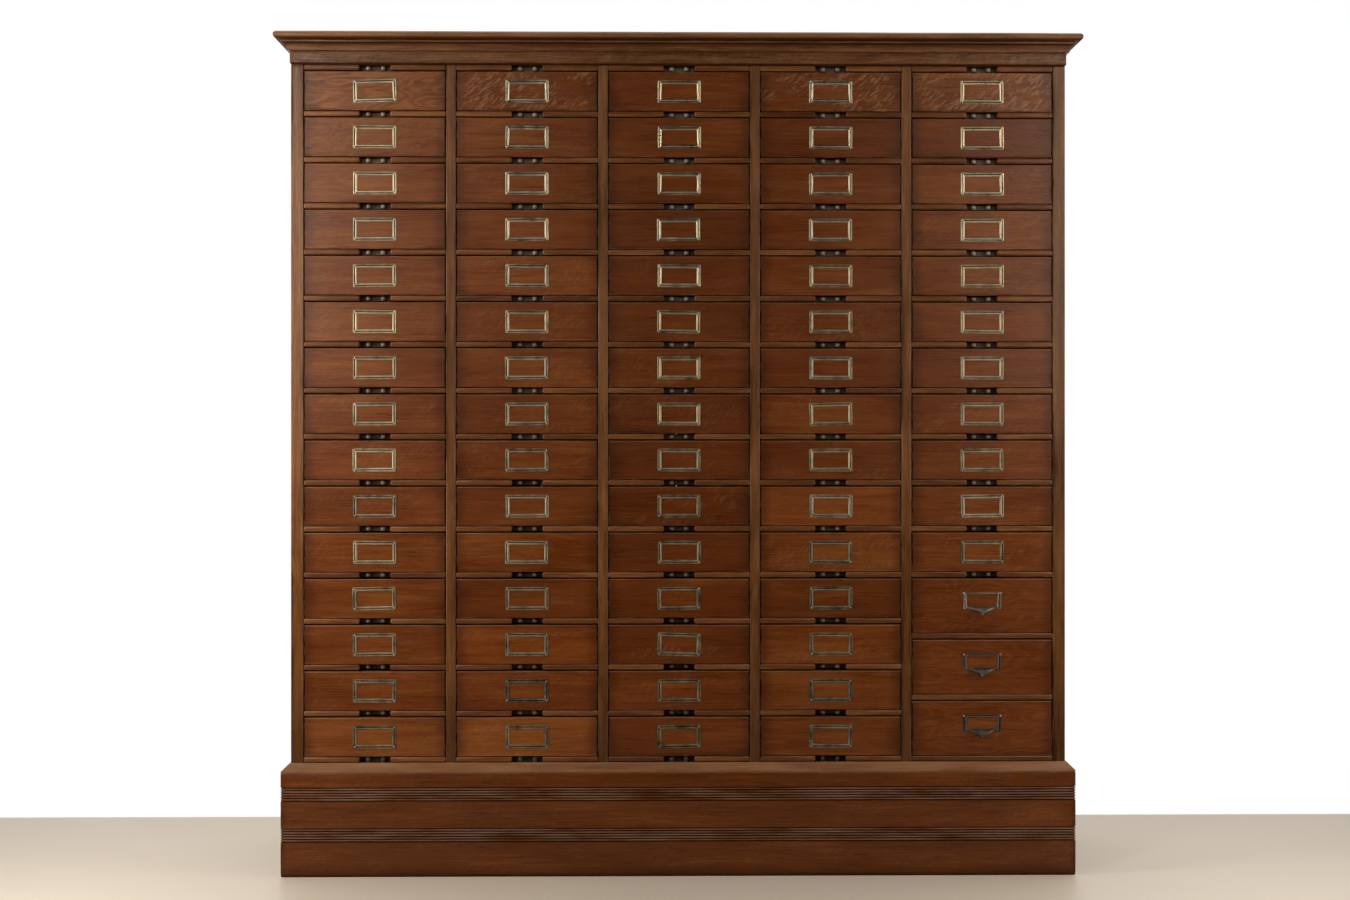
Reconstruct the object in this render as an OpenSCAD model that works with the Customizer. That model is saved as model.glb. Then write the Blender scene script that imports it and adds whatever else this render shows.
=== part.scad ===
// Many-drawer oak office cabinet: a grid of small label-front drawers with finger
// notches in the rails between them, and three taller drawers at the foot of the
// last column. Millimetres, +Z up. The front faces -Y and every drawer slides
// along -Y. The origin is on the floor, at the centre of the overall footprint.

/* [Grid] */
// Number of drawer columns
columns = 5; // [3:1:5]
// Number of small drawers in a full column
rows = 15; // [6:1:15]
// Rows at the foot of the last column whose height the tall drawers share
tall_rows = 4; // [3:1:5]
// Number of tall drawers in the last column
tall_count = 3; // [1:1:3]
// Clear width of one column
opening_w = 283.5; // [250:0.5:330]
// Clear height of one small drawer opening
opening_h = 81.3; // [66:0.1:110]

/* [Case] */
// Thickness of the two case sides
side_t = 25; // [18:1:28]
// Thickness of the partitions between the columns
partition_t = 20; // [16:1:26]
// Height of the rails and shelves between the drawers
rail_h = 10.8; // [9:0.2:16]
// Depth of the case from front to back
case_d = 400; // [360:5:600]
// Depth of the hardwood rails at the front of the shelves
rail_d = 30; // [26:1:44]
// Depth of the housings that the shelf ends stand in
housing_d = 4; // [2:0.5:6]
// Thickness of the back boards
back_t = 9; // [6:1:14]
// Number of back boards
back_count = 10; // [6:1:14]
// Thickness of the glue line between two pieces
glue_line = 0.1; // [0.05:0.05:0.3]

/* [Drawers] */
// Gap at each end of a drawer front
end_gap = 1.4; // [0.8:0.1:2.5]
// Gap under a drawer front
under_gap = 1.2; // [0.3:0.1:2]
// Gap over a drawer front
over_gap = 2.6; // [1:0.1:3]
// Thickness of the drawer fronts
front_t = 19; // [14:1:24]
// Thickness of the drawer sides and backs
box_t = 9; // [7:0.5:12]
// Thickness of the drawer bottoms
bottom_t = 4; // [3:0.5:6]
// Length of a drawer from its front face to its back
drawer_l = 380; // [300:5:385]

/* [Finger notches] */
// Width of the notch in the rail over and under each small drawer
notch_w = 61; // [44:1:90]
// How far the spring catch stands back from the case front
catch_set_back = 8; // [2:1:12]
// Distance between the two round lobes of a spring catch
lobe_pitch = 30; // [22:1:36]
// Diameter of a catch lobe
lobe_d = 11; // [6:0.5:12]

/* [Label frames and pulls] */
// Width of the label frame on a small drawer
label_w = 86; // [60:1:110]
// Height of the label frame on a small drawer
label_h = 46; // [34:1:56]
// Width of the bars of a label frame
label_bar = 8; // [5:0.5:10]
// Width of the label frame over a cup pull
pull_w = 76; // [60:1:90]
// Height of the label frame over a cup pull
pull_h = 34; // [28:1:42]
// Distance from the top of a tall drawer front down to its pull
pull_drop = 27; // [15:1:34]

/* [Cornice and top] */
// Height of the frieze and the cornice together
entablature_h = 46; // [34:1:70]
// How far the frieze stands out from the case
frieze_out = 2; // [1:0.5:6]
// How far the fillet at the top of the cornice stands out from the case
cornice_out = 17; // [12:0.5:24]
// Overhang of the top board at the front and at both ends
top_overhang = 30; // [26:1:45]
// Thickness of the top board
top_t = 15.5; // [14:0.5:26]

/* [Plinth] */
// Height of the plinth with its cap
plinth_h = 224.5; // [190:0.5:300]
// How far the plinth stands out from the case
plinth_out = 17; // [12:0.5:25]
// Height of the first reeded band over the floor
reed_low_z = 70; // [30:1:80]
// Height of the second reeded band over the floor
reed_high_z = 151; // [120:1:152]
// Grooves in one reeded band
groove_count = 6; // [3:1:7]
// Distance from groove to groove
groove_pitch = 5.2; // [4:0.1:6]

/* [Hidden] */
// Columns whose drawers are drawn together as one bank, counted from the left
bank_columns = 2;
small_rows = rows - tall_rows;
column_pitch = opening_w + partition_t;
case_w = columns * opening_w + (columns - 1) * partition_t + 2 * side_t;
inner_w = case_w - 2 * side_t;
row_pitch = opening_h + rail_h;
tall_h = (tall_rows * row_pitch - tall_count * rail_h) / tall_count;

// Heights of the main lines of the case
grid_bottom = plinth_h + rail_h;
grid_top = grid_bottom + rows * row_pitch - rail_h;
case_top = grid_top + rail_h;
top_z = case_top + entablature_h;

// The footprint is centred, and only the top board overhangs at the front
front_y = top_overhang - (case_d + top_overhang) / 2;
back_y = front_y + case_d;
shelf_back_y = back_y - back_t;

// Cornice moulding, measured out from the case and up from its own foot
cornice_h = 19.4;
cornice_foot = 7.7;
cornice_step = 1.6;
fillet_h = 5;
fillet_lip = 1.5;
cove_steps = 8;

// Plinth cap and reeding
cap_lip = 3;
cap_flat = 2;
cap_z = plinth_h - (plinth_out - cap_flat) - cap_lip;
groove_d = 2.6;

// Drawer boxes
side_drop = 8;
back_drop = 13;
bottom_lift = 5;

// Metalwork
label_t = 1.6;
pin_d = 3.2;
pin_rise = 0.8;
pin_inset = 4;
strip_t = 0.8;
catch_clear = 1;
catch_foot_w = 12;
pull_bar = 8;
pull_rail = 4.5;
pull_t = 2;
ear_reach = 3;
cup_w = 52;
cup_out = 14;
cup_h = 13;
cup_wall = 1.6;
tip_drop = 12;
screw_d = 4.4;

// Back boards stand clear of the floor, with a gap between one and the next
back_foot_z = 10;
back_gap = 0.6;

// Segments of a full turn
smooth = 48;
fine = 24;

function two_digits(n) = n < 10 ? str("0", n) : str(n);
function drawer_name(c, i) =
    i > openings_in(c) - tall_in(c)
        ? str("tall_drawer_", i - small_in(c))
        : str("drawer_c", c, "_r", two_digits(i));
function tall_in(c) = c == columns ? tall_count : 0;
function small_in(c) = c == columns ? small_rows : rows;
function openings_in(c) = small_in(c) + tall_in(c);

// Height and bottom of opening i of column c, counted from the top
function height_of(c, i) = i > small_in(c) ? tall_h : opening_h;
function bottom_of(c, i) =
    i > small_in(c)
        ? grid_top - small_rows * row_pitch - (i - small_rows) * (tall_h + rail_h) + rail_h
        : grid_top - i * row_pitch + rail_h;
function column_x(c) = (c - (columns + 1) / 2) * column_pitch;

single_columns = [for (c = [bank_columns + 1 : columns]) c];
drawer_nodes = [for (c = single_columns) for (i = [1 : openings_in(c)]) drawer_name(c, i)];
bank_nodes = [for (c = [1 : bank_columns]) str("drawer_bank_c", c)];
pull_nodes = [for (t = [1 : tall_count]) str("cup_pull_", t)];

// ---- Helpers -------------------------------------------------------------------

// Runs a profile along the front and both ends of the case, mitred at the two front
// corners with a joint of the given width. The profile's X is the distance out from the
// case and its Y is the height. It lies between reach and minus depth.
module mitred_runs(reach, depth, joint) {
    half = case_w / 2;
    front_plan = [
        [-half - reach, front_y - reach],
        [half + reach, front_y - reach],
        [half - depth, front_y + depth],
        [-half + depth, front_y + depth]
    ];
    end_plan = [
        [half + reach, front_y - reach + joint],
        [half + reach, back_y],
        [half - depth, back_y],
        [half - depth, front_y + depth + joint]
    ];
    intersection() {
        translate([-half - reach, front_y, 0])
            rotate([90, 0, 90])
                linear_extrude(case_w + 2 * reach) mirror([1, 0]) children();
        linear_extrude(top_z + top_t) polygon(front_plan);
    }
    for (side = [0, 1]) {
        mirror([side, 0, 0]) intersection() {
            translate([half, back_y, 0])
                rotate([90, 0, 0])
                    linear_extrude(case_d + reach) children();
            linear_extrude(top_z + top_t) polygon(end_plan);
        }
    }
}

// A board between two corners
module board(low, high) {
    translate(low) cube(high - low);
}

// Places children at the front of a column, with Z at the given height
module at_column(c, z) {
    translate([column_x(c), front_y, z]) children();
}

// ---- Case ----------------------------------------------------------------------

module top_board() {
    nose_r = top_t / 2;
    color("saddlebrown") union() {
        mitred_runs(top_overhang, side_t, 0) union() {
            translate([top_overhang - nose_r, top_z + nose_r]) circle(nose_r, $fn = smooth);
            translate([-side_t, top_z]) square([side_t + top_overhang - nose_r, top_t]);
        }
        board(
            [-inner_w / 2, front_y + side_t, top_z],
            [inner_w / 2, back_y, top_z + top_t]
        );
    }
}

// A foot, a cove that sweeps out under a fillet, and the fillet itself
module cornice_profile() {
    foot_z = top_z - cornice_h;
    cove_z = foot_z + cornice_step;
    cove_rise = cornice_h - cornice_step - fillet_h;
    cove_run = cornice_out - fillet_lip - cornice_foot;
    cove = [
        for (k = [0 : cove_steps])
            [
                cornice_foot + cove_run * (1 - cos(90 * k / cove_steps)),
                cove_z + cove_rise * sin(90 * k / cove_steps)
            ]
    ];
    polygon(concat(
        [[frieze_out, foot_z], [cornice_foot, foot_z]],
        cove,
        [[cornice_out, top_z - fillet_h], [cornice_out, top_z], [frieze_out, top_z]]
    ));
}

module cornice_moulding() {
    color("sienna") mitred_runs(cornice_out, 0, glue_line) cornice_profile();
}

module frieze() {
    color("saddlebrown") mitred_runs(frieze_out, side_t, glue_line)
        translate([-side_t, case_top]) square([side_t + frieze_out, entablature_h]);
}

// The housings for the shelves of column c, cut into the faces on both sides of it
module housings(c) {
    for (i = [0 : openings_in(c)]) {
        z = i == 0 ? grid_top : bottom_of(c, i) - rail_h;
        translate([column_x(c), 0, z]) board(
            [-opening_w / 2 - housing_d, front_y + rail_d, 0],
            [opening_w / 2 + housing_d, shelf_back_y, rail_h]
        );
    }
}

module case_sides() {
    color("saddlebrown") difference() {
        for (side = [-1, 1]) {
            translate([side * (case_w - side_t) / 2, 0, 0])
                board([-side_t / 2, front_y, 0], [side_t / 2, back_y, case_top]);
        }
        housings(1);
        housings(columns);
    }
}

module partitions() {
    color("saddlebrown") difference() {
        for (c = [1 : columns - 1]) {
            translate([column_x(c) + column_pitch / 2, 0, 0]) board(
                [-partition_t / 2, front_y, 0],
                [partition_t / 2, shelf_back_y, case_top]
            );
        }
        for (c = [1 : columns]) housings(c);
    }
}

// One shelf over the top opening and one under every opening
module shelf_boards() {
    color("burlywood") for (c = [1 : columns]) housings(c);
}

// The rail over opening 1 and under every other one. Rails that touch a small drawer
// are two pieces with a finger notch between them.
module front_rails() {
    color("sienna") for (c = [1 : columns]) {
        for (i = [0 : openings_in(c)]) {
            z = i == 0 ? grid_top : bottom_of(c, i) - rail_h;
            at_column(c, z) {
                if (i <= small_in(c)) {
                    for (side = [0, 1]) {
                        mirror([side, 0, 0])
                            board([notch_w / 2, 0, 0], [opening_w / 2, rail_d, rail_h]);
                    }
                } else {
                    board([-opening_w / 2, 0, 0], [opening_w / 2, rail_d, rail_h]);
                }
            }
        }
    }
}

// A bent strip with two round lobes, on a foot fixed to the shelf behind the notch
module spring_catch() {
    height = rail_h - 2 * catch_clear;
    lobe_y = catch_set_back + lobe_d / 2;
    strip_y = catch_set_back + lobe_d - strip_t;
    translate([0, 0, catch_clear]) {
        for (side = [-1, 1]) {
            translate([side * lobe_pitch / 2, lobe_y, 0])
                cylinder(h = height, d = lobe_d, $fn = smooth);
        }
        translate([-lobe_pitch / 2, strip_y, 0]) cube([lobe_pitch, strip_t, height]);
        translate([-catch_foot_w / 2, strip_y, 0])
            cube([catch_foot_w, rail_d - strip_y, height]);
    }
}

module spring_catches() {
    color("silver") for (c = [1 : columns]) {
        for (i = [0 : small_in(c)]) {
            z = i == 0 ? grid_top : bottom_of(c, i) - rail_h;
            at_column(c, z) spring_catch();
        }
    }
}

module back_boards() {
    plank_w = inner_w / back_count;
    color("peru") for (k = [0 : back_count - 1]) {
        translate([-inner_w / 2 + k * plank_w, 0, 0])
            board([0, shelf_back_y, back_foot_z], [plank_w - back_gap, back_y, top_z]);
    }
}

// ---- Plinth --------------------------------------------------------------------

module plinth_profile() {
    difference() {
        square([plinth_out, cap_z]);
        for (band = [reed_low_z, reed_high_z]) {
            for (k = [0 : groove_count - 1]) {
                translate([plinth_out, band + k * groove_pitch])
                    circle(d = groove_d, $fn = fine);
            }
        }
    }
}

module plinth_boards() {
    color("saddlebrown") mitred_runs(plinth_out, 0, glue_line) plinth_profile();
}

// A small flat at the top, a 45 degree slope, and a thin lip over the plinth boards
module plinth_cap() {
    color("rosybrown") mitred_runs(plinth_out, 0, glue_line) polygon([
        [0, cap_z],
        [plinth_out, cap_z],
        [plinth_out, cap_z + cap_lip],
        [cap_flat, plinth_h],
        [0, plinth_h]
    ]);
}

// ---- Drawers -------------------------------------------------------------------

// Front, sides, bottom and back of a drawer for an opening of this height, with glue
// lines between them. Zero is at the foot of the opening, on its centre line and in the
// plane of the case front.
module drawer_box(height) {
    front_w = opening_w - 2 * end_gap;
    front_h = height - under_gap - over_gap;
    half = front_w / 2;
    inner = half - box_t - glue_line;
    box_y = front_t + glue_line;
    back_z = bottom_lift + bottom_t + glue_line;
    translate([0, 0, under_gap]) {
        color("saddlebrown") board([-half, 0, 0], [half, front_t, front_h]);
        color("burlywood") {
            for (side = [0, 1]) {
                mirror([side, 0, 0])
                    board([half - box_t, box_y, 0], [half, drawer_l, front_h - side_drop]);
            }
            board([-inner, box_y, bottom_lift], [inner, drawer_l, bottom_lift + bottom_t]);
            board(
                [-inner, drawer_l - box_t, back_z],
                [inner, drawer_l, front_h - back_drop]
            );
        }
    }
}

// A flat frame with a window and a pin at each corner, a hair off the drawer front
module label_frame(width, height) {
    color("darkkhaki") translate([0, -glue_line, 0]) rotate([90, 0, 0]) union() {
        linear_extrude(label_t) difference() {
            square([width, height], center = true);
            square([width - 2 * label_bar, height - 2 * label_bar], center = true);
        }
        for (x = [-1, 1]) {
            for (z = [-1, 1]) {
                translate([x * (width / 2 - pin_inset), z * (height / 2 - pin_inset), 0])
                    cylinder(h = label_t + pin_rise, d = pin_d, $fn = fine);
            }
        }
    }
}

module small_drawer(c, i) {
    at_column(c, bottom_of(c, i)) {
        drawer_box(opening_h);
        translate([0, 0, under_gap + (opening_h - under_gap - over_gap) / 2])
            label_frame(label_w, label_h);
    }
}

module drawer_bank(c) {
    for (i = [1 : rows]) small_drawer(c, i);
}

module tall_drawer(t) {
    at_column(columns, bottom_of(columns, small_rows + t)) drawer_box(tall_h);
}

// Frame with ears, pointed plate below it, and its window
module pull_outline() {
    difference() {
        union() {
            translate([-pull_w / 2, -pull_h]) square([pull_w, pull_h]);
            translate([-pull_w / 2 - ear_reach, -2 * screw_d])
                square([pull_w + 2 * ear_reach, 2 * screw_d]);
            polygon([
                [-cup_w / 2, -pull_h],
                [cup_w / 2, -pull_h],
                [screw_d / 2, -pull_h - tip_drop],
                [-screw_d / 2, -pull_h - tip_drop]
            ]);
        }
        translate([-pull_w / 2 + pull_bar, -pull_h + pull_rail])
            square([pull_w - 2 * pull_bar, pull_h - 2 * pull_rail]);
    }
}

// A hood whose lower rim is a shallow arc in plan, closed to the plate at its top. Its
// axis stands behind the plate, so that only a slice of the turned shell shows.
module finger_cup() {
    rim_r = (cup_w * cup_w / 4 + cup_out * cup_out) / (2 * cup_out);
    axis_y = rim_r - cup_out;
    translate([0, 0, -pull_h - cup_h / 2]) intersection() {
        translate([0, axis_y, 0]) rotate_extrude($fn = smooth) difference() {
            square([rim_r, cup_h]);
            translate([0, -cup_wall]) square([rim_r - cup_wall, cup_h]);
        }
        board([-cup_w / 2, -cup_out - 1, 0], [cup_w / 2, 0, cup_h]);
    }
}

module cup_pull(t) {
    front_top = bottom_of(columns, small_rows + t) + tall_h - over_gap;
    color("dimgray") at_column(columns, front_top - pull_drop) union() {
        rotate([90, 0, 0]) linear_extrude(pull_t) pull_outline();
        translate([0, -pull_t, 0]) finger_cup();
        for (x = [-1, 1]) {
            translate([x * (pull_w / 2 - 1), 0, -screw_d])
                rotate([90, 0, 0]) cylinder(h = pull_t + pin_rise, d = screw_d, $fn = fine);
        }
    }
}

// ---- Nodes ---------------------------------------------------------------------

top_board();
cornice_moulding();
frieze();
case_sides();
partitions();
shelf_boards();
front_rails();
spring_catches();
back_boards();
plinth_boards();
plinth_cap();
for (c = [1 : bank_columns]) {
    drawer_bank(c);
}
for (c = single_columns) {
    for (i = [1 : small_in(c)]) {
        small_drawer(c, i);
    }
}
for (t = [1 : tall_count]) {
    tall_drawer(t);
    cup_pull(t);
}
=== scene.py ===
import math
import random

import bmesh
import bpy
import numpy as np
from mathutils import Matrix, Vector, noise


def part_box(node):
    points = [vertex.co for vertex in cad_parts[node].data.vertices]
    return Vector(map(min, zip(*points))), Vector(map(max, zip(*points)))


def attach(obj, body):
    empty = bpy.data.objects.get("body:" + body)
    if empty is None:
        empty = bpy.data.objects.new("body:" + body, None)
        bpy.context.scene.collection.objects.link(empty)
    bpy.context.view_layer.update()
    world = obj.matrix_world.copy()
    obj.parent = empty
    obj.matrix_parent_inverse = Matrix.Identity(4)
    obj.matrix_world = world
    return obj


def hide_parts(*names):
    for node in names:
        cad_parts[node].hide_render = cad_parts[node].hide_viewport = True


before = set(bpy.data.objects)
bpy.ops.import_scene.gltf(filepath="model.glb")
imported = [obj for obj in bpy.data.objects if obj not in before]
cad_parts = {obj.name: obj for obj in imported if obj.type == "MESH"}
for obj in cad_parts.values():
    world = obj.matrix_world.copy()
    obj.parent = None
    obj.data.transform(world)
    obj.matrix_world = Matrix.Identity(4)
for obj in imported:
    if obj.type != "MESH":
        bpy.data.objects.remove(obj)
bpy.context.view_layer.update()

MM = 0.001
SEED = 4715
rng = random.Random(SEED)

# ---- Sizes, worked out from the frame

COLUMNS = 5
ROWS = 15
SMALL_ROWS_LAST = 11
TALL_DRAWERS = 3
BANK_COLUMNS = 2
MIDDLE = 3
BACK_PLANKS = 10

sides_low, sides_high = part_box("case_sides")
parts_low, parts_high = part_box("partitions")
top_low, top_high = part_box("top_board")
cornice_low, cornice_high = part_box("cornice_moulding")
rails_low, rails_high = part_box("front_rails")
back_low, back_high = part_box("back_boards")
cap_low, cap_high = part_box("plinth_cap")
first_low, first_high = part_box("drawer_c3_r01")
second_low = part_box("drawer_c3_r02")[0]
frieze_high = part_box("frieze")[1]
shelf_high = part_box("shelf_boards")[1]
plinth_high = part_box("plinth_boards")[1]

HALF_CASE = sides_high.x
FRONT_Y = sides_low.y
BACK_Y = sides_high.y
CASE_TOP = sides_high.z
TOP_Z = top_low.z
SIDE_T = 25 * MM
PARTITION_T = 20 * MM
RAIL_D = rails_high.y - rails_low.y
PITCH = (parts_high.x - parts_low.x - PARTITION_T) / (COLUMNS - 2)
OPENING_W = PITCH - PARTITION_T
ROW_PITCH = first_low.z - second_low.z
FRONT_W = first_high.x - first_low.x
FRONT_T = 19 * MM
DRAWER_END = first_high.y
UNDER_GAP = 1.2 * MM
OVER_GAP = 2.6 * MM
RAIL_H = CASE_TOP - first_high.z - OVER_GAP
BOX_T = 9 * MM
BOTTOM_T = 4 * MM
BOTTOM_LIFT = 5 * MM
SIDE_DROP = 8 * MM
BACK_DROP = 13 * MM
GLUE = 0.1 * MM
NOTCH_W = 61 * MM
BODY = "case"


def column_x(column):
    return (column - MIDDLE) * PITCH


# ---- Meshes

# Point attributes: place from the solid's middle (along the grain, across it, into the wood),
# half its size in the same order, random seed, look of the solid, and grime with painted shade,
# scuff with painted highlights, and swirl
VECTORS = ("place", "half", "seed", "look", "marks")
GRAIN_ORDER = {"x": [0, 2, 1], "y": [1, 0, 2], "z": [2, 0, 1]}
# Mitred runs of a moulding and the way each one faces
RUN_FACES = {"front": (0, -1), "left": (-1, 0), "right": (1, 0)}


def rounded_cube_template(segments):
    """A rounded cube as corner signs, offsets in bevel radii, faces and smooth flags."""
    bm = bmesh.new()
    bmesh.ops.create_cube(bm, size=4)
    bmesh.ops.bevel(
        bm, geom=bm.edges[:] + bm.verts[:], offset=1, segments=segments, profile=0.5, affect="EDGES"
    )
    bm.verts.index_update()
    verts = np.array([v.co[:] for v in bm.verts])
    signs = np.sign(verts)
    faces = [[v.index for v in f.verts] for f in bm.faces]
    smooth = [max(abs(c) for c in f.normal) <= 0.999 or f.calc_area() <= 3 for f in bm.faces]
    bm.free()
    return signs, verts - signs, faces, smooth


TEMPLATES = {n: rounded_cube_template(n) for n in (1, 2, 3)}


class Piece:
    """Collects solids with their grain attributes, then becomes one Blender object."""

    def __init__(self):
        self.verts, self.faces, self.smooth = [], [], []
        self.data = {k: [] for k in VECTORS}
        self.count = 0

    def add(self, verts, faces, smooth, place, half, look, marks=(0, 0, 0)):
        """Adds one closed solid with its attributes."""
        n = len(verts)
        self.verts.append(np.asarray(verts, float))
        self.faces.extend([[i + self.count for i in f] for f in faces])
        self.smooth.extend(smooth)
        seed = [rng.uniform(-3, 3) for _ in range(3)]
        for key, value in zip(VECTORS, (place, half, seed, look, marks)):
            self.data[key].append(np.broadcast_to(np.asarray(value, float), (n, 3)))
        self.count += n

    def board(self, low, high, grain, look, edge, segments, swirl=0.0):
        """A board with eased edges between two corners."""
        signs, offsets, faces, smooth = TEMPLATES[segments]
        low, high = np.array(low, float), np.array(high, float)
        centre, half = (low + high) / 2, (high - low) / 2
        edge = min(edge, half.min() * 0.8)
        verts = centre + signs * (half - edge) + offsets * edge
        order = GRAIN_ORDER[grain]
        self.add(verts, faces, smooth, (verts - centre)[:, order], half[order], look,
                 (0.0, 0.0, swirl))

    def make(self, name, material, body, slot, nodes, sharp=None):
        """Turns the solids into one object that stands for these CAD nodes."""
        mesh = bpy.data.meshes.new(name)
        mesh.from_pydata(np.concatenate(self.verts).tolist(), [], self.faces)
        mesh.polygons.foreach_set("use_smooth", self.smooth)
        for key, chunks in self.data.items():
            layer = mesh.attributes.new(key, "FLOAT_VECTOR", "POINT")
            layer.data.foreach_set("vector", np.concatenate(chunks).astype(np.float32).ravel())
        mesh.materials.append(material)
        mesh.validate()
        mesh.update()
        if sharp:
            mesh.set_sharp_from_angle(angle=math.radians(sharp))
        ob = bpy.data.objects.new(name, mesh)
        bpy.context.scene.collection.objects.link(ob)
        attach(ob, body)
        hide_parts(*nodes)


def fix_normals(verts, faces):
    """Turns the faces of one closed solid outwards."""
    bm = bmesh.new()
    made = [bm.verts.new(v) for v in verts]
    for f in faces:
        bm.faces.new([made[i] for i in f])
    bm.verts.index_update()
    bmesh.ops.recalc_face_normals(bm, faces=bm.faces[:])
    result = [[v.index for v in f.verts] for f in bm.faces]
    bm.free()
    return result


def tube_faces(rings, count, closed=False):
    """Quads between each ring of points and the next one."""
    faces = []
    for k in range(rings if closed else rings - 1):
        a, b = k * count, (k + 1) % rings * count
        for i in range(count):
            j = (i + 1) % count
            faces.append([a + i, a + j, b + j, b + i])
    return faces


def middle_and_half(verts):
    low, high = verts.min(0), verts.max(0)
    return (low + high) / 2, (high - low) / 2


def round_corners(points, radius, steps):
    """Rounds the corners of a closed profile, less where its sides are short."""
    nearly_straight = math.radians(165)
    result = []
    for i, point in enumerate(points):
        p = Vector(point)
        a, b = Vector(points[i - 1]) - p, Vector(points[(i + 1) % len(points)]) - p
        if a.angle(b, 0) > nearly_straight:
            result.append(tuple(p))
            continue
        reach = min(radius, a.length * 0.45, b.length * 0.45)
        start, end = p + a.normalized() * reach, p + b.normalized() * reach
        for k in range(steps + 1):
            t = k / steps
            result.append(tuple(start.lerp(p, t).lerp(p.lerp(end, t), t)))
    return result


def run_points(kind, reach, steps):
    """Plan points of one mitred run at this reach out from the case."""
    outer = HALF_CASE + reach
    front = FRONT_Y - reach
    if kind == "front":
        return [(x, front) for x in np.linspace(-outer, outer, steps + 1)]
    side = RUN_FACES[kind][0]
    return [(side * outer, y) for y in np.linspace(front + GLUE, BACK_Y, steps + 1)]


def sweep(piece, kind, profile, look, steps, wobble, marks):
    """One mitred run of a closed profile. Profile points are (reach out from the case, height)."""
    grid = np.array([[(x, y, height) for x, y in run_points(kind, reach, steps)]
                     for reach, height in profile])
    n_profile, n_length = grid.shape[:2]
    out_x, out_y = RUN_FACES[kind]
    waves = 9.0
    other_place = Vector((7, 3, 1))
    for i in range(n_profile):
        for j in range(1, n_length - 1):
            at = Vector(grid[i, j] * waves)
            shift = noise.noise(at) * wobble
            rise = noise.noise(at + other_place) * wobble * 0.6
            grid[i, j] += (out_x * shift, out_y * shift, rise)
    verts = grid.reshape(-1, 3)
    faces = []
    for i in range(n_profile):
        k = (i + 1) % n_profile
        for j in range(n_length - 1):
            a, b = i * n_length + j, k * n_length + j
            faces.append([a, a + 1, b + 1, b])
    smooth = [True] * len(faces) + [False, False]
    faces.append([i * n_length for i in range(n_profile)])
    faces.append([(i + 1) * n_length - 1 for i in reversed(range(n_profile))])
    centre, half = middle_and_half(verts)
    order = [0, 2, 1] if kind == "front" else [1, 2, 0]
    piece.add(verts, fix_normals(verts, faces), smooth, (verts - centre)[:, order], half[order],
              look, np.repeat(np.array(marks, float), n_length, axis=0))


def build_runs(name, node, material, slot, profile, marks, look, steps, wobble, sharp=32):
    """The mitred front length and the two returns of one moulding."""
    piece = Piece()
    for kind in RUN_FACES:
        count = steps[0] if kind == "front" else steps[1]
        sweep(piece, kind, profile, wood_look(*look), count, wobble, marks)
    piece.make(name, material, BODY, slot, [node], sharp)


# ---- Materials

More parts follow.
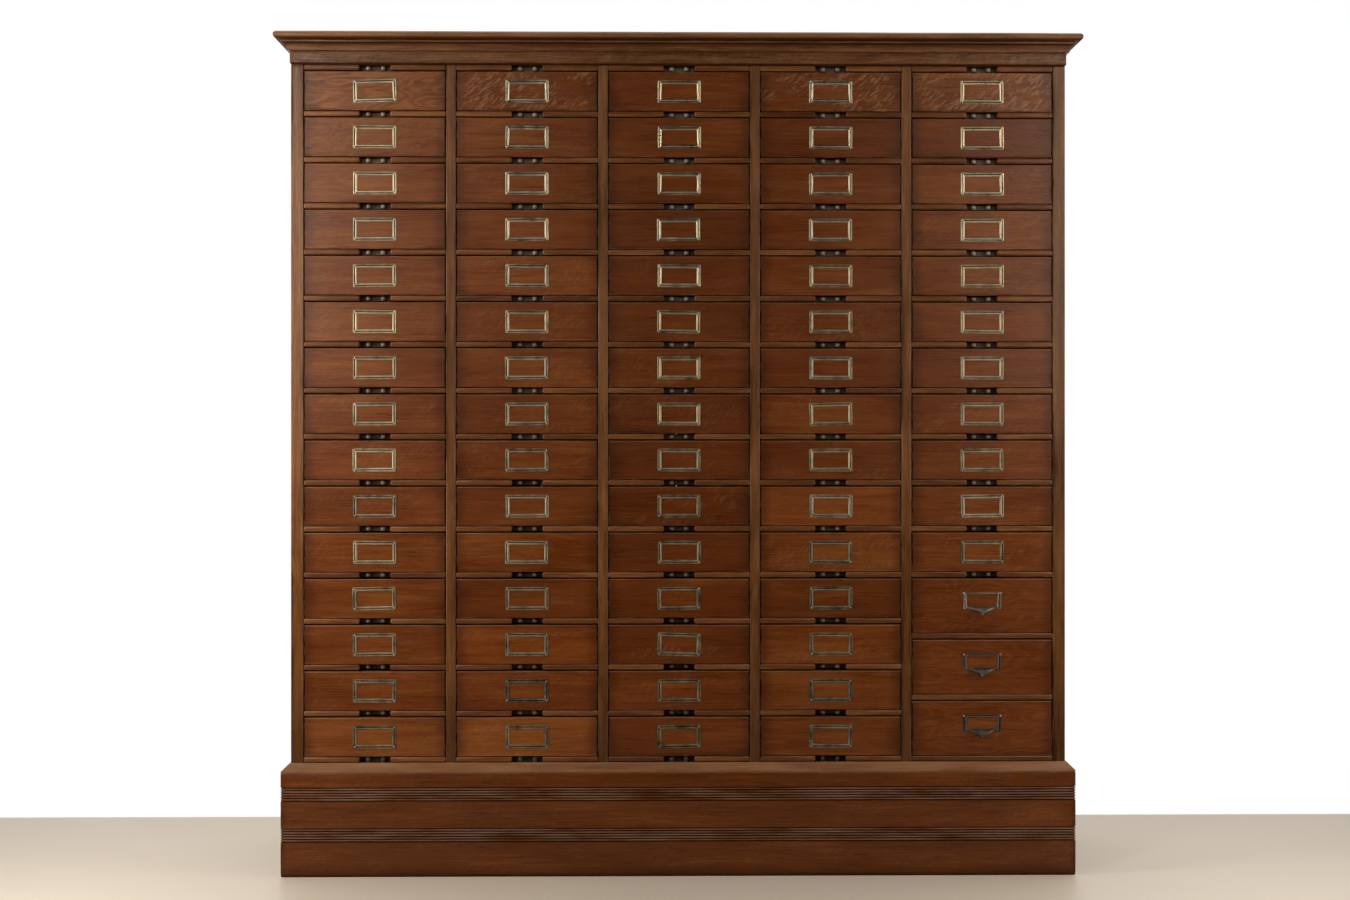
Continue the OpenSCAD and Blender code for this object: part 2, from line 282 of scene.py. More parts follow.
class Graph:
    """A few short names for building a node tree."""

    def __init__(self, name):
        self.material = bpy.data.materials.new(name)
        self.material.use_nodes = True
        self.tree = self.material.node_tree
        self.shader = self.tree.nodes["Principled BSDF"]

    def link(self, value, socket):
        if isinstance(value, bpy.types.NodeSocket):
            self.tree.links.new(value, socket)
        else:
            socket.default_value = value

    def attribute(self, name):
        node = self.tree.nodes.new("ShaderNodeAttribute")
        node.attribute_name = name
        return node.outputs["Vector"]

    def attributes(self):
        return [self.attribute(key) for key in VECTORS]

    def split(self, vector):
        node = self.tree.nodes.new("ShaderNodeSeparateXYZ")
        self.link(vector, node.inputs[0])
        return node.outputs[0], node.outputs[1], node.outputs[2]

    def join(self, x, y, z):
        node = self.tree.nodes.new("ShaderNodeCombineXYZ")
        for value, socket in zip((x, y, z), node.inputs):
            self.link(value, socket)
        return node.outputs[0]

    def vector(self, operation, a, b=None):
        node = self.tree.nodes.new("ShaderNodeVectorMath")
        node.operation = operation
        self.link(a, node.inputs[0])
        if b is not None:
            self.link(b, node.inputs[1])
        return node.outputs[0]

    def math(self, operation, a, b=None, c=None, clamp=False):
        node = self.tree.nodes.new("ShaderNodeMath")
        node.operation = operation
        node.use_clamp = clamp
        for value, socket in zip((a, b, c), node.inputs):
            if value is not None:
                self.link(value, socket)
        return node.outputs[0]

    def noise(self, at, scale, detail, rough=0.55, distortion=0.0):
        node = self.tree.nodes.new("ShaderNodeTexNoise")
        self.link(self.vector("MULTIPLY", at, scale), node.inputs["Vector"])
        node.inputs["Scale"].default_value = 1
        node.inputs["Detail"].default_value = detail
        node.inputs["Roughness"].default_value = rough
        node.inputs["Distortion"].default_value = distortion
        return node.outputs["Fac"]

    def step(self, value, low, high, to_low=0.0, to_high=1.0):
        node = self.tree.nodes.new("ShaderNodeMapRange")
        node.interpolation_type = "SMOOTHSTEP"
        for key, v in (("Value", value), ("From Min", low), ("From Max", high),
                       ("To Min", to_low), ("To Max", to_high)):
            self.link(v, node.inputs[key])
        return node.outputs[0]

    def mix(self, factor, a, b, blend="MIX"):
        node = self.tree.nodes.new("ShaderNodeMix")
        node.data_type = "RGBA"
        node.blend_type = blend
        self.link(factor, node.inputs["Factor"])
        self.link(a, node.inputs[6])
        self.link(b, node.inputs[7])
        return node.outputs[2]

    def ramp(self, factor, stops):
        node = self.tree.nodes.new("ShaderNodeValToRGB")
        band = node.color_ramp
        while len(band.elements) < len(stops):
            band.elements.new(0.5)
        for element, (place, colour) in zip(band.elements, stops):
            element.position = place
            element.color = colour
        self.link(factor, node.inputs["Fac"])
        return node.outputs["Color"]

    def bump(self, height, distance, strength):
        node = self.tree.nodes.new("ShaderNodeBump")
        node.inputs["Strength"].default_value = strength
        node.inputs["Distance"].default_value = distance
        self.link(height, node.inputs["Height"])
        self.link(node.outputs["Normal"], self.shader.inputs["Normal"])

    def weighted(self, base, *terms):
        """base + sum of (noise - 0.5) * weight"""
        total = base
        for value, weight in terms:
            centred = self.math("SUBTRACT", value, 0.5)
            total = self.math("MULTIPLY_ADD", centred, weight, total)
        return total

    def edge_distance(self, place, half):
        """How far a point on a board's face is from the nearest edge of that face."""
        inside = self.vector("SUBTRACT", half, self.vector("ABSOLUTE", place))
        x, y, z = self.split(inside)
        low, high = self.math("MINIMUM", x, y), self.math("MAXIMUM", x, y)
        return self.math("MAXIMUM", low, self.math("MINIMUM", high, z))


def rgb(r, g, b):
    return (r, g, b, 1.0)


# Noise scales per metre: along the grain, across it and into the wood
BENDS = (2.6, 12, 12)
CLOUDS = (5, 16, 16)
BANDS = (3.5, 75, 75)
LINES = (11, 330, 330)
PORES = (55, 1900, 1900)
RAYS = (34, 210, 210)
FIGURE = (9, 26, 26)
RINGS = (5, 17, 17)
DENTS = (62, 150, 150)
UNEVEN = (14, 40, 40)
PATCHES = (26, 60, 60)
SCUFFS = (9, 70, 70)

DEEP = rgb(0.055, 0.011, 0.0012)
MID = rgb(0.143, 0.0330, 0.0026)
LIGHT = rgb(0.285, 0.096, 0.019)
WORN_AND_HIGHLIGHT = rgb(0.34, 0.19, 0.11)
GRIME_AND_SHADE = rgb(0.022, 0.006, 0.002)
JOINT_SHADOW = rgb(0.008, 0.002, 0.001)
WARM_TINT = rgb(1.12, 0.96, 0.72)


def oak(name, deep, mid, light, streak=1.0, cloud=1.0, fleck=1.0, shine=0.31, edge_dirt_and_shade=0.2,
        edge_dirt_and_shade_reach=16 * MM, rub=0.5, crest_wear_and_highlight=0.2, worn_and_highlight=WORN_AND_HIGHLIGHT, card=0.0, ends=0.0, foot=0.0):
    """Dark quarter-sawn oak under old varnish."""
    g = Graph(name)
    place, half, seed, look, marks = g.attributes()
    tone, flecked, hue = g.split(look)
    grime_and_shade, scuff_and_highlight, swirl = g.split(marks)
    along, up, _ = g.split(place)
    half_along, half_up, _ = g.split(half)

    # Grain: bent lines, bands and clouds
    at = g.vector("ADD", place, seed)
    shift = g.math("MULTIPLY_ADD", g.noise(at, BENDS, 2), 0.03, -0.015)
    warped = g.vector("ADD", at, g.join(0.0, shift, shift))
    clouds = g.noise(warped, CLOUDS, 3)
    bands = g.noise(warped, BANDS, 3)
    lines = g.noise(warped, LINES, 3, 0.65)
    value = g.weighted(tone, (clouds, 0.7 * cloud), (bands, 0.55 * streak), (lines, 0.75 * streak))
    if card:
        # The wood behind the label frame has stayed a little lighter
        across = g.step(g.math("ABSOLUTE", along), 33 * MM, 36 * MM, card, 0.0)
        inside = g.step(g.math("ABSOLUTE", up), 13 * MM, 16 * MM, 1.0, 0.0)
        value = g.math("MULTIPLY_ADD", across, inside, value)
    colour = g.ramp(value, [(0.0, deep), (0.5, mid), (1.0, light)])

    # Ray flecks run aslant in patches, and some boards have flame-shaped rings
    at_x, at_up, at_depth = g.split(warped)
    slant = g.join(g.math("MULTIPLY_ADD", at_up, 1.2, at_x),
                   g.math("MULTIPLY_ADD", at_x, -0.9, at_up), at_depth)
    rays = g.noise(slant, RAYS, 2, 0.5, 0.6)
    figure = g.step(g.noise(at, FIGURE, 2), 0.40, 0.58)
    ray_mask = g.math("MULTIPLY", g.step(rays, 0.53, 0.60),
                      g.math("MULTIPLY", figure, flecked), clamp=True)
    colour = g.mix(g.math("MULTIPLY", ray_mask, 0.55 * fleck), colour, worn_and_highlight)
    rings = g.math("SINE", g.math("MULTIPLY", g.noise(warped, RINGS, 2, 0.4), 95))
    flame = g.math("MULTIPLY", g.step(rings, -0.2, 1.0), g.math("MULTIPLY", swirl, 0.42))
    colour = g.mix(flame, colour, light)
    pore_mask = g.step(g.noise(warped, PORES, 1), 0.56, 0.66)
    colour = g.mix(g.math("MULTIPLY", pore_mask, 0.45), colour, deep)
    colour = g.mix(hue, colour, g.mix(1.0, colour, WARM_TINT, "MULTIPLY"))
    dents = g.step(g.noise(at, DENTS, 1), 0.765, 0.80)
    colour = g.mix(g.math("MULTIPLY", dents, 0.7), colour, deep)

    # Dirt and painted shade along the edges, darker ends, and painted shadow in the joints
    edge = g.edge_distance(place, half)
    ragged = g.weighted(edge, (clouds, 0.022), (bands, 0.008))
    # Edges darken with dirt and with painted shade, so the gaps between parts read dark
    shade = g.step(ragged, 0.0, edge_dirt_and_shade_reach, edge_dirt_and_shade, 0.0)
    if foot:
        # Uprights are darker where they meet the plinth
        above_floor = g.weighted(g.math("ADD", half_along, along), (clouds, 0.1))
        colour = g.mix(g.step(above_floor, 0.22, 0.50, foot, 0.0), colour, deep)
    below_top = g.math("SUBTRACT", half_up, up)
    # Less painted shade near the top edge, where the light falls
    shade = g.math("MULTIPLY", shade, g.step(below_top, 0.0, 40 * MM, 0.35, 1.0))
    # The grime channel also carries painted shade in grooves, under overhangs and at the foot
    shade = g.math("MAXIMUM", shade, grime_and_shade, clamp=True)
    colour = g.mix(shade, colour, GRIME_AND_SHADE)
    from_end = g.math("SUBTRACT", half_along, g.math("ABSOLUTE", along))
    end_fade = g.step(g.weighted(from_end, (clouds, 0.03)), 0.0, 30 * MM, ends, 0.0)
    colour = g.mix(end_fade, colour, deep)
    # Painted shadow in the gaps at the ends of the drawer fronts
    gap_shadow = g.step(from_end, 0.7 * MM, 2.2 * MM, 0.95 if ends else 0.0, 0.0)
    colour = g.mix(gap_shadow, colour, JOINT_SHADOW)

    # Wear and painted highlights: a pale line on the top edge, partly wear and partly a painted
    # highlight, rubbed edges and scuffs
    top_wear_and_highlight_line = g.step(below_top, 0.8 * MM, 2.4 * MM, crest_wear_and_highlight, 0.0)
    uneven = g.step(g.noise(at, UNEVEN, 2), 0.30, 0.60, 0.35, 1.0)
    colour = g.mix(g.math("MULTIPLY", top_wear_and_highlight_line, uneven), colour, worn_and_highlight)
    near = g.step(edge, 0.3 * MM, 1.8 * MM, rub, 0.0)
    wear_and_highlight = g.math("MULTIPLY", near, g.step(g.noise(at, PATCHES, 3), 0.44, 0.66))
    scuffed_and_highlit = g.math("MULTIPLY", scuff_and_highlight, g.step(g.noise(at, SCUFFS, 4, 0.6), 0.30, 0.70))
    wear_and_highlight = g.math("MAXIMUM", wear_and_highlight, scuffed_and_highlit, clamp=True)
    g.link(g.mix(wear_and_highlight, colour, worn_and_highlight), g.shader.inputs["Base Color"])

    # Gloss is lost in dirt, painted shade and wear
    gloss = g.weighted(0.31, (lines, 0.22), (clouds, 0.20))
    gloss = g.math("MULTIPLY_ADD", shade, 0.16, gloss)
    gloss = g.math("MULTIPLY_ADD", ray_mask, -0.08, gloss)
    g.link(g.math("MULTIPLY_ADD", wear_and_highlight, 0.15, gloss, clamp=True), g.shader.inputs["Roughness"])
    # No shine in the painted shade and the painted gap shadows
    unshaded = g.math("SUBTRACT", 1.0, g.math("MAXIMUM", shade, gap_shadow), clamp=True)
    g.link(g.math("MULTIPLY", unshaded, shine), g.shader.inputs["Specular IOR Level"])
    g.link(g.math("MULTIPLY", unshaded, 0.08), g.shader.inputs["Coat Weight"])
    g.shader.inputs["Coat Roughness"].default_value = 0.24
    height = g.math("MULTIPLY_ADD", pore_mask, -0.8, lines)
    g.bump(g.math("MULTIPLY_ADD", dents, -4.0, height), 0.35 * MM, 0.25)
    return g.material


def bare_wood(name, deep, light):
    """Unvarnished secondary wood of boxes, shelves and back."""
    g = Graph(name)
    place, half, seed, look, _ = g.attributes()
    tone, knotty, _ = g.split(look)
    at = g.vector("ADD", place, seed)
    shift = g.math("MULTIPLY_ADD", g.noise(at, (1.8, 8, 8), 2), 0.05, -0.025)
    warped = g.vector("ADD", at, g.join(0.0, shift, shift))
    bands = g.noise(warped, (1.6, 48, 48), 3)
    lines = g.noise(warped, (7, 330, 330), 3)
    clouds = g.noise(at, (4, 11, 11), 3)
    value = g.weighted(tone, (bands, 1.2), (lines, 0.6), (clouds, 0.7))
    colour = g.ramp(value, [(0.0, deep), (1.0, light)])
    knots = g.step(g.noise(at, (9, 22, 22), 1), 0.70, 0.80)
    colour = g.mix(g.math("MULTIPLY", knots, knotty), colour, deep)
    edge = g.weighted(g.edge_distance(place, half), (clouds, 0.02))
    # Darker towards the edges of each board
    edge_darkening = g.step(edge, 0.0, 18 * MM, 0.45, 0.0)
    g.link(g.mix(edge_darkening, colour, rgb(0.05, 0.028, 0.015)), g.shader.inputs["Base Color"])
    g.link(g.weighted(0.62, (lines, 0.3)), g.shader.inputs["Roughness"])
    g.bump(lines, 0.3 * MM, 0.3)
    return g.material


def metal(name, dark, bright, warm, rough, metallic=1.0, patina=0.5):
    """Old sheet metal: patina in patches, brighter polished spots that are partly painted
    highlights, fine scratches.
    """
    g = Graph(name)
    place, _, seed, look, marks = g.attributes()
    tone, hue, _ = g.split(look)
    grime_and_shade, polish_and_highlight, _ = g.split(marks)
    at = g.vector("ADD", place, seed)
    patches = g.noise(at, (55, 55, 55), 4, 0.6)
    specks = g.noise(at, (900, 900, 900), 2, 0.6)
    scratches = g.noise(at, (300, 2600, 2600), 2)
    value = g.weighted(tone, (patches, 1.5 * patina), (specks, 0.4), (scratches, 0.3))
    colour = g.ramp(value, [(0.0, dark), (1.0, bright)])
    colour = g.mix(hue, colour, g.mix(1.0, colour, warm, "MULTIPLY"))
    colour = g.mix(g.math("MULTIPLY", polish_and_highlight, 0.6), colour, bright)
    # Grime and patina in the grooves, and painted shade at the back of the notches
    g.link(g.mix(grime_and_shade, colour, rgb(0.02, 0.014, 0.009)), g.shader.inputs["Base Color"])
    g.shader.inputs["Metallic"].default_value = metallic
    gloss = g.weighted(rough, (patches, 0.5), (scratches, 0.2))
    gloss = g.math("ADD", gloss, g.step(tone, 0.1, 0.7, 0.25, 0.0))
    g.link(g.math("MULTIPLY_ADD", grime_and_shade, 0.3, gloss, clamp=True), g.shader.inputs["Roughness"])
    g.bump(g.math("MULTIPLY_ADD", patches, 0.8, specks), 0.08 * MM, 0.35)
    return g.material


drawer_oak = oak("drawer_oak", DEEP, MID, LIGHT, streak=0.85, cloud=0.8, edge_dirt_and_shade=0.30,
                 edge_dirt_and_shade_reach=4 * MM, rub=0.4, crest_wear_and_highlight=0.32, card=0.10, ends=0.62)
case_oak = oak("case_oak", rgb(0.046, 0.015, 0.003), rgb(0.150, 0.055, 0.014),
               rgb(0.30, 0.132, 0.050), streak=1.4, fleck=0.4, edge_dirt_and_shade=0.85, edge_dirt_and_shade_reach=4 * MM,
               rub=0.7, crest_wear_and_highlight=0.0, foot=0.6)
rail_oak = oak("rail_oak", rgb(0.050, 0.012, 0.002), rgb(0.142, 0.042, 0.008),
               rgb(0.30, 0.118, 0.040), streak=1.2, fleck=0.5, edge_dirt_and_shade=0.5, edge_dirt_and_shade_reach=3 * MM,
               rub=0.6, crest_wear_and_highlight=0.45)
# Its greyer worn colour also paints the highlights on the reed crests
plinth_oak = oak("plinth_oak", rgb(0.050, 0.011, 0.0010), rgb(0.128, 0.032, 0.0022),
                 rgb(0.26, 0.085, 0.018), streak=0.8, cloud=0.8, fleck=0.6, shine=0.22, edge_dirt_and_shade=0.35,
                 worn_and_highlight=rgb(0.34, 0.225, 0.165))
cap_oak = oak("cap_oak", rgb(0.080, 0.026, 0.007), rgb(0.220, 0.085, 0.026),
              rgb(0.36, 0.175, 0.075), streak=0.8, fleck=0.4, shine=0.28, rub=0.7)
moulding_oak = oak("moulding_oak", rgb(0.045, 0.013, 0.003), rgb(0.132, 0.043, 0.011),
                   rgb(0.27, 0.115, 0.044), streak=2.0, fleck=0.5, crest_wear_and_highlight=0.1)
top_oak = oak("top_oak", rgb(0.070, 0.022, 0.007), rgb(0.250, 0.095, 0.028),
              rgb(0.42, 0.20, 0.085), fleck=0.8, shine=0.5, rub=0.8)
inner_wood = bare_wood("inner_wood", rgb(0.13, 0.070, 0.032), rgb(0.40, 0.25, 0.13))
shelf_wood = bare_wood("shelf_wood", rgb(0.12, 0.062, 0.030), rgb(0.34, 0.200, 0.105))
back_wood = bare_wood("back_wood", rgb(0.075, 0.036, 0.017), rgb(0.25, 0.135, 0.066))
label_brass = metal("label_brass", rgb(0.055, 0.038, 0.022), rgb(0.86, 0.75, 0.59),
                    rgb(1.0, 0.88, 0.66), 0.30, patina=0.8)
pull_steel = metal("pull_steel", rgb(0.012, 0.011, 0.010), rgb(0.30, 0.28, 0.25),
                   rgb(1.0, 0.9, 0.72), 0.36)
screw_brass = metal("screw_brass", rgb(0.20, 0.13, 0.05), rgb(0.75, 0.56, 0.27),
                    rgb(1.0, 0.85, 0.6), 0.30)
catch_steel = metal("catch_steel", rgb(0.085, 0.046, 0.027), rgb(0.72, 0.60, 0.50),
                    rgb(1.0, 0.82, 0.62), 0.50, metallic=0.45)


def wood_look(tone=0.5, spread=0.10, fleck=0.18, hue=0.3):
    """Tone, fleck and warmth of one board."""
    return (tone + rng.uniform(-spread, spread), fleck * rng.uniform(0, 2),
            max(0.0, hue + rng.uniform(-0.15, 0.15)))


# ---- Case

def build_top():
    nose = (top_high.z - top_low.z) / 2
    reach = top_high.x - HALF_CASE
    arc_steps, front_steps, side_steps = 12, 40, 8
    rings = []
    for k in range(arc_steps + 1):
        angle = -math.pi / 2 + math.pi * k / arc_steps
        out = reach - nose + nose * math.cos(angle)
        height = TOP_Z + nose + nose * math.sin(angle)
        x, front = HALF_CASE + out, FRONT_Y - out
        ys = np.linspace(BACK_Y, front, side_steps + 1)[:-1]
        rings.append([(-x, y, height) for y in ys]
                     + [(t, front, height) for t in np.linspace(-x, x, front_steps + 1)]
                     + [(x, y, height) for y in reversed(ys)])
    grid = np.array(rings)
    rows, count = grid.shape[:2]
    for i in range(1, rows - 1):
        for j in range(1, count - 1):
            grid[i, j, 2] += noise.noise(Vector(grid[i, j] * 11)) * 0.35 * MM
    verts = grid.reshape(-1, 3)
    faces = tube_faces(rows, count)
    faces.append(list(range(count)))
    faces.append([(rows - 1) * count + j for j in reversed(range(count))])
    smooth = ([True] * (count - 1) + [False]) * (rows - 1) + [False, False]
    centre, half = middle_and_half(verts)
    # Painted shade under the nose, wear on top of it
    level = (verts[:, 2] - centre[2]) / nose
    marks = np.zeros((len(verts), 3))
    marks[:, 0] = np.clip((-0.12 - level) * 1.5, 0, 0.9)
    marks[:, 1] = np.where(level > 0.2, 0.3, 0.0)
    piece = Piece()
    piece.add(verts, fix_normals(verts, faces), smooth, verts - centre, half, (0.52, 0.5, 0.3),
              marks)
    piece.make("top_board_oak", top_oak, BODY, "top_oak", ["top_board"], 40)


def build_cornice():
    out = cornice_high.x - HALF_CASE
    inner = frieze_high.x - HALF_CASE
    foot_z = cornice_low.z
    foot = 7.7 * MM
    step = 1.6 * MM
    fillet = 5 * MM
    lip = 1.5 * MM
    rise = TOP_Z - foot_z - step - fillet
    run = out - lip - foot
    turns = 10
    points = [(inner, foot_z), (foot, foot_z)]
    for k in range(turns + 1):
        angle = math.pi / 2 * k / turns
        points.append((foot + run * (1 - math.cos(angle)), foot_z + step + rise * math.sin(angle)))
    points += [(out, TOP_Z - drop) for drop in (fillet, 3.4 * MM, 1.8 * MM, 0)]
    points.append((inner, TOP_Z))
    profile = round_corners(points, 0.6 * MM, 2)
    # Painted shade at the top of the cove under the fillet, and a painted shadow line where the
    # fillet meets the top board
    marks = []
    for _, height in profile:
        below = TOP_Z - fillet - height
        if below < -1.3 * MM:
            grime_and_shade = 0.85 if height > TOP_Z - 1.2 * MM else 0.0
        else:
            grime_and_shade = max(0.0, 0.9 - max(below, 0) / (9 * MM))
        marks.append((grime_and_shade, 0.0, 0.0))
    build_runs("cornice_moulding_oak", "cornice_moulding", moulding_oak, "moulding_oak", profile,
               marks, (0.54, 0.03), (40, 10), 0.25 * MM)


def build_frieze():
    out = frieze_high.x - HALF_CASE
    foot = cornice_low.z
    ease = 3.4 * MM
    profile = [(-SIDE_T, CASE_TOP), (out - 2.6 * MM, CASE_TOP),
               (out - 1.8 * MM, CASE_TOP + 0.8 * MM), (out, CASE_TOP + ease),
               (out, CASE_TOP + ease + 1.4 * MM), (out, foot - 9 * MM), (out, foot), (out, TOP_Z),
               (-SIDE_T, TOP_Z)]
    # Painted shadow along the frieze's lower edge and painted shade under the cornice
    grime_and_shade = (0, 0.95, 0.95, 0.8, 0.0, 0.15, 0.55, 0.5, 0)
    build_runs("frieze_oak", "frieze", moulding_oak, "moulding_oak", profile,
               [(value, 0.0, 0.0) for value in grime_and_shade], (0.60, 0.03, 2.0), (30, 8), 0.2 * MM)


def build_plinth():
    out = plinth_high.x - HALF_CASE
    bands = (70 * MM, 151 * MM)
    grooves = 6
    pitch = 5.2 * MM
    depth = 2.0 * MM
    foot = 9 * MM
    # The third number is grime with painted shade: dark at the foot, in the grooves, at the band
    # edges and under the cap
    points = [(0, 0, 0.9), (out - 3.0 * MM, 0, 0.9), (out - 0.9 * MM, 1.2 * MM, 0.85),
              (out - 0.2 * MM, foot * 0.5, 0.6), (out, foot, 0.35), (out, 3 * foot, 0.0)]
    for band in bands:
        points += [(out, band - 3.4 * MM, 0.0), (out, band - 0.9 * MM, 0.3)]
        for k in range(grooves):
            z = band + k * pitch
            points += [(out - depth, z - 0.6 * MM, 1.0), (out - depth, z + 0.6 * MM, 1.0)]
            if k < grooves - 1:
                for t in (0.16, 0.28, 0.42, 0.58, 0.72, 0.84):
                    bulge = math.sin(math.pi * t) ** 0.7
                    points.append((out - depth * (1 - bulge), z + pitch * t, 1.7 * (1 - bulge)))
        points += [(out, z + 0.9 * MM, 0.2), (out, z + 3.4 * MM, 0.0)]
    top = plinth_high.z
    points += [(out, top - 1.4 * MM, 0.0), (out - 0.5 * MM, top - 0.4 * MM, 0.3),
               (out - 1.4 * MM, top, 0.5), (0, top, 0.5)]
    profile = [(reach, height) for reach, height, _ in points]
    in_reeds = [any(band < height < band + (grooves - 1) * pitch for band in bands)
                for _, height, _ in points]
    # The reed crests get a pale scuff, partly wear and partly a painted highlight
    marks = [(min(grime_and_shade, 1.0), 0.5 * (1 - min(grime_and_shade, 1.0)) if reed else 0.0, 0.0)
             for (_, _, grime_and_shade), reed in zip(points, in_reeds)]
    build_runs("plinth_boards_oak", "plinth_boards", plinth_oak, "plinth_oak", profile, marks,
               (0.5, 0.04, 0.3), (60, 14), 0.3 * MM, 60)


def build_cap():
    out = cap_high.x - HALF_CASE
    lip = 3 * MM
    flat = 2 * MM
    low, top = cap_low.z, cap_high.z
    points = [(0, low), (out, low), (out, low + lip), (flat, top), (0, top)]
    profile = round_corners(points, 1.2 * MM, 3)
    marks = [(0.0, 0.35 if height > low + lip * 0.6 else 0.1, 0.0) for _, height in profile]
    build_runs("plinth_cap_oak", "plinth_cap", cap_oak, "plinth_oak", profile, marks, (0.52, 0.05),
               (70, 16), 0.35 * MM)


def build_uprights():
    piece = Piece()
    for side in (-1, 1):
        x = side * (HALF_CASE - SIDE_T / 2)
        piece.board((x - SIDE_T / 2, FRONT_Y, 0), (x + SIDE_T / 2, BACK_Y, CASE_TOP), "z",
                    wood_look(0.47 - 0.06 * side, 0.02, 0.3), 1.5 * MM, 3)
    piece.make("case_sides_oak", case_oak, BODY, "case_oak", ["case_sides"])
    piece = Piece()
    for column in range(1, COLUMNS):
        x = column_x(column) + PITCH / 2
        piece.board((x - PARTITION_T / 2, FRONT_Y, 0),
                    (x + PARTITION_T / 2, parts_high.y, CASE_TOP), "z",
                    wood_look(0.5, 0.06, 0.3), 1.8 * MM, 3)
    piece.make("partitions_oak", case_oak, BODY, "case_oak", ["partitions"])


def opening_bottoms(column):
    """Underside of each front in a column, from the top one down."""
    if column < COLUMNS:
        return [first_low.z - k * ROW_PITCH for k in range(ROWS)]
    small = [first_low.z - k * ROW_PITCH for k in range(SMALL_ROWS_LAST)]
    return small + [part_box(f"tall_drawer_{t + 1}")[0].z for t in range(TALL_DRAWERS)]


def rail_levels(column):
    """Underside of the rail over opening 1 and under every other one."""
    return [CASE_TOP - RAIL_H] + [z - UNDER_GAP - RAIL_H for z in opening_bottoms(column)]


def has_notch(column, level):
    return column < COLUMNS or level <= SMALL_ROWS_LAST


def build_shelves_and_rails():
    shelves, rails = Piece(), Piece()
    half = OPENING_W / 2
    for column in range(1, COLUMNS + 1):
        x = column_x(column)
        for level, z in enumerate(rail_levels(column)):
            shelves.board((x - half, FRONT_Y + RAIL_D, z), (x + half, shelf_high.y, z + RAIL_H),
                          "x", wood_look(0.45, 0.12, 0.3), 0.4 * MM, 1)
            look = wood_look(0.52, 0.12, 0.3)
            spans = [(-half, -NOTCH_W / 2), (NOTCH_W / 2, half)]
            if not has_notch(column, level):
                spans = [(-half, half)]
            for a, b in spans:
                rails.board((x + a, FRONT_Y, z), (x + b, FRONT_Y + RAIL_D, z + RAIL_H), "x", look,
                            3.0 * MM, 3)
    shelves.make("shelf_boards_wood", shelf_wood, BODY, "inner_wood", ["shelf_boards"])
    rails.make("front_rails_oak", rail_oak, BODY, "rail_oak", ["front_rails"])


def strip_solid(path, thickness, low, high):
    """A bent strip on edge: a plan path given a thickness and a height."""
    path = [Vector(p) for p in path]
    left, right = [], []
    for i, p in enumerate(path):
        a = path[max(i - 1, 0)]
        b = path[min(i + 1, len(path) - 1)]
        across = (b - a).normalized().orthogonal() * thickness / 2
        left.append(p + across)
        right.append(p - across)
    loop = left + right[::-1]
    count, half = len(loop), len(left)
    ease = 0.5 * MM
    middle = [(a + b) / 2 for a, b in zip(left, right)]
    inner = [p.lerp(c, 0.5) for p, c in zip(loop, middle + middle[::-1])]
    levels = 4
    heights = [low + ease + (high - low - 2 * ease) * k / levels for k in range(levels + 1)]
    layers = [(inner, low)] + [(loop, z) for z in heights] + [(inner, high)]
    verts = [(p.x, p.y, z) for points, z in layers for p in points]
    faces = tube_faces(len(layers), count)
    for base in (0, (len(layers) - 1) * count):
        for i in range(half - 1):
            faces.append([base + i, base + i + 1, base + count - 2 - i, base + count - 1 - i])
    return verts, fix_normals(verts, faces)


